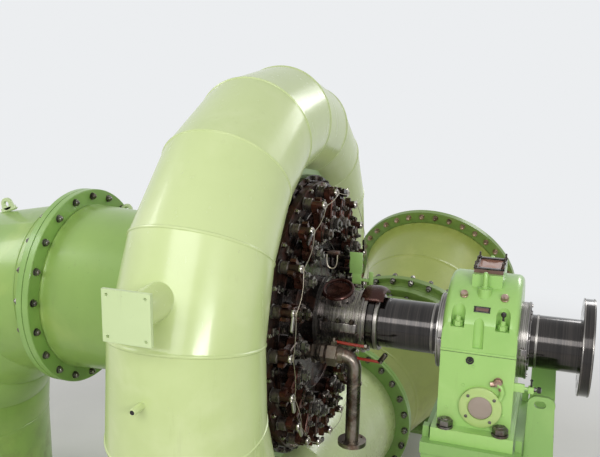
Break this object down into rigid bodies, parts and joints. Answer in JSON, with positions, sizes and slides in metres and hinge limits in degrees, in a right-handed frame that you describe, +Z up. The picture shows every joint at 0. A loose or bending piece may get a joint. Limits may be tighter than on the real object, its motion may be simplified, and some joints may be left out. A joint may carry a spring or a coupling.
{
  "type": "horizontal francis turbine unit",
  "caption": "Horizontal-shaft Francis turbine with mitred spiral case, guide vane gear, shaft, pedestal bearing, inlet cone and draft elbow, for driving a generator.",
  "frame": {"origin": "On the floor, below the shaft axis, in the centre plane of the spiral case.", "axes": "+X runs along the shaft from the draft tube to the coupling, +Y runs towards the water inlet, +Z is up."},
  "size_m": [5.2298, 5.2966, 3.5042],
  "materials": {
    "green_paint": "glossy light green machine paint, dusty, worn at edges",
    "dark_iron": "dark oiled cast iron",
    "pipe_steel": "dull steel pipe",
    "machined_steel": "machined steel",
    "window_frame": "dark frame with a brown pane",
    "shaft_steel": "turned and polished steel, oiled",
    "gear_steel": "oiled steel with bright pins",
    "lever_primer": "dark red primer on forged steel, oily"
  },
  "bodies": {
    "frame": {"spiral_case": "green_paint", "stay_ring": "green_paint", "head_cover": "dark_iron", "draft_cover": "green_paint", "draft_cone": "green_paint", "draft_joint": "green_paint", "draft_elbow": "green_paint", "outlet_flange": "green_paint", "case_sole_plate": "green_paint", "stub_plate": "green_paint", "inlet_joint_lower": "green_paint", "inlet_bend": "green_paint", "inlet_joint_upper": "green_paint", "inlet_cone": "green_paint", "inlet_flange": "green_paint", "inlet_support": "green_paint", "seal_housing": "dark_iron", "seal_pipe": "pipe_steel", "bearing_base": "green_paint", "bearing_cap": "green_paint", "bearing_end_rings": "machined_steel", "bearing_cover": "machined_steel", "bearing_window": "window_frame", "bearing_sole_plate": "green_paint", "bearing_pedestal": "green_paint"},
    "shaft": {"shaft": "shaft_steel"},
    "regulating_ring": {"regulating_ring": "gear_steel"},
    "lever_01": {"lever_01": "lever_primer"},
    "lever_02": {"lever_02": "lever_primer"},
    "lever_03": {"lever_03": "lever_primer"},
    "lever_04": {"lever_04": "lever_primer"},
    "lever_05": {"lever_05": "lever_primer"},
    "lever_06": {"lever_06": "lever_primer"},
    "lever_07": {"lever_07": "lever_primer"},
    "lever_08": {"lever_08": "lever_primer"},
    "lever_09": {"lever_09": "lever_primer"},
    "lever_10": {"lever_10": "lever_primer"},
    "lever_11": {"lever_11": "lever_primer"},
    "lever_12": {"lever_12": "lever_primer"},
    "lever_13": {"lever_13": "lever_primer"},
    "lever_14": {"lever_14": "lever_primer"},
    "lever_15": {"lever_15": "lever_primer"},
    "lever_16": {"lever_16": "lever_primer"},
    "lever_17": {"lever_17": "lever_primer"},
    "lever_18": {"lever_18": "lever_primer"},
    "lever_19": {"lever_19": "lever_primer"},
    "lever_20": {"lever_20": "lever_primer"}
  },
  "joints": [
    {"name": "shaft_spin", "type": "hinge", "parent": "frame", "child": "shaft", "pos_m": [1.275, 0, 2], "axis": [1, 0, 0], "continuous": true},
    {"name": "ring_turn", "type": "hinge", "parent": "frame", "child": "regulating_ring", "pos_m": [0.2, 0, 2], "axis": [1, 0, 0], "range_deg": [-4.8, 4.8]},
    {"name": "lever_01_turn", "type": "hinge", "parent": "frame", "child": "lever_01", "pos_m": [0.3, 0.58, 2], "axis": [1, 0, 0], "range_deg": [-20, 20]},
    {"name": "lever_02_turn", "type": "hinge", "parent": "frame", "child": "lever_02", "pos_m": [0.3, 0.55161, 2.17923], "axis": [1, 0, 0], "range_deg": [-20, 20]},
    {"name": "lever_03_turn", "type": "hinge", "parent": "frame", "child": "lever_03", "pos_m": [0.3, 0.46923, 2.34091], "axis": [1, 0, 0], "range_deg": [-20, 20]},
    {"name": "lever_04_turn", "type": "hinge", "parent": "frame", "child": "lever_04", "pos_m": [0.3, 0.34092, 2.46923], "axis": [1, 0, 0], "range_deg": [-20, 20]},
    {"name": "lever_05_turn", "type": "hinge", "parent": "frame", "child": "lever_05", "pos_m": [0.3, 0.17923, 2.55161], "axis": [1, 0, 0], "range_deg": [-20, 20]},
    {"name": "lever_06_turn", "type": "hinge", "parent": "frame", "child": "lever_06", "pos_m": [0.3, 0, 2.58], "axis": [1, 0, 0], "range_deg": [-20, 20]},
    {"name": "lever_07_turn", "type": "hinge", "parent": "frame", "child": "lever_07", "pos_m": [0.3, -0.17923, 2.55161], "axis": [1, 0, 0], "range_deg": [-20, 20]},
    {"name": "lever_08_turn", "type": "hinge", "parent": "frame", "child": "lever_08", "pos_m": [0.3, -0.34092, 2.46923], "axis": [1, 0, 0], "range_deg": [-20, 20]},
    {"name": "lever_09_turn", "type": "hinge", "parent": "frame", "child": "lever_09", "pos_m": [0.3, -0.46923, 2.34091], "axis": [1, 0, 0], "range_deg": [-20, 20]},
    {"name": "lever_10_turn", "type": "hinge", "parent": "frame", "child": "lever_10", "pos_m": [0.3, -0.55161, 2.17923], "axis": [1, 0, 0], "range_deg": [-20, 20]},
    {"name": "lever_11_turn", "type": "hinge", "parent": "frame", "child": "lever_11", "pos_m": [0.3, -0.58, 2], "axis": [1, 0, 0], "range_deg": [-20, 20]},
    {"name": "lever_12_turn", "type": "hinge", "parent": "frame", "child": "lever_12", "pos_m": [0.3, -0.55161, 1.82077], "axis": [1, 0, 0], "range_deg": [-20, 20]},
    {"name": "lever_13_turn", "type": "hinge", "parent": "frame", "child": "lever_13", "pos_m": [0.3, -0.46923, 1.65908], "axis": [1, 0, 0], "range_deg": [-20, 20]},
    {"name": "lever_14_turn", "type": "hinge", "parent": "frame", "child": "lever_14", "pos_m": [0.3, -0.34092, 1.53077], "axis": [1, 0, 0], "range_deg": [-20, 20]},
    {"name": "lever_15_turn", "type": "hinge", "parent": "frame", "child": "lever_15", "pos_m": [0.3, -0.17923, 1.44839], "axis": [1, 0, 0], "range_deg": [-20, 20]},
    {"name": "lever_16_turn", "type": "hinge", "parent": "frame", "child": "lever_16", "pos_m": [0.3, 0, 1.42], "axis": [1, 0, 0], "range_deg": [-20, 20]},
    {"name": "lever_17_turn", "type": "hinge", "parent": "frame", "child": "lever_17", "pos_m": [0.3, 0.17923, 1.44839], "axis": [1, 0, 0], "range_deg": [-20, 20]},
    {"name": "lever_18_turn", "type": "hinge", "parent": "frame", "child": "lever_18", "pos_m": [0.3, 0.34092, 1.53077], "axis": [1, 0, 0], "range_deg": [-20, 20]},
    {"name": "lever_19_turn", "type": "hinge", "parent": "frame", "child": "lever_19", "pos_m": [0.3, 0.46923, 1.65908], "axis": [1, 0, 0], "range_deg": [-20, 20]},
    {"name": "lever_20_turn", "type": "hinge", "parent": "frame", "child": "lever_20", "pos_m": [0.3, 0.55161, 1.82077], "axis": [1, 0, 0], "range_deg": [-20, 20]}
  ],
  "couplings": [
    {"joint": "lever_01_turn", "follows": "ring_turn", "ratio": 4},
    {"joint": "lever_02_turn", "follows": "ring_turn", "ratio": 4},
    {"joint": "lever_03_turn", "follows": "ring_turn", "ratio": 4},
    {"joint": "lever_04_turn", "follows": "ring_turn", "ratio": 4},
    {"joint": "lever_05_turn", "follows": "ring_turn", "ratio": 4},
    {"joint": "lever_06_turn", "follows": "ring_turn", "ratio": 4},
    {"joint": "lever_07_turn", "follows": "ring_turn", "ratio": 4},
    {"joint": "lever_08_turn", "follows": "ring_turn", "ratio": 4},
    {"joint": "lever_09_turn", "follows": "ring_turn", "ratio": 4},
    {"joint": "lever_10_turn", "follows": "ring_turn", "ratio": 4},
    {"joint": "lever_11_turn", "follows": "ring_turn", "ratio": 4},
    {"joint": "lever_12_turn", "follows": "ring_turn", "ratio": 4},
    {"joint": "lever_13_turn", "follows": "ring_turn", "ratio": 4},
    {"joint": "lever_14_turn", "follows": "ring_turn", "ratio": 4},
    {"joint": "lever_15_turn", "follows": "ring_turn", "ratio": 4},
    {"joint": "lever_16_turn", "follows": "ring_turn", "ratio": 4},
    {"joint": "lever_17_turn", "follows": "ring_turn", "ratio": 4},
    {"joint": "lever_18_turn", "follows": "ring_turn", "ratio": 4},
    {"joint": "lever_19_turn", "follows": "ring_turn", "ratio": 4},
    {"joint": "lever_20_turn", "follows": "ring_turn", "ratio": 4}
  ]
}
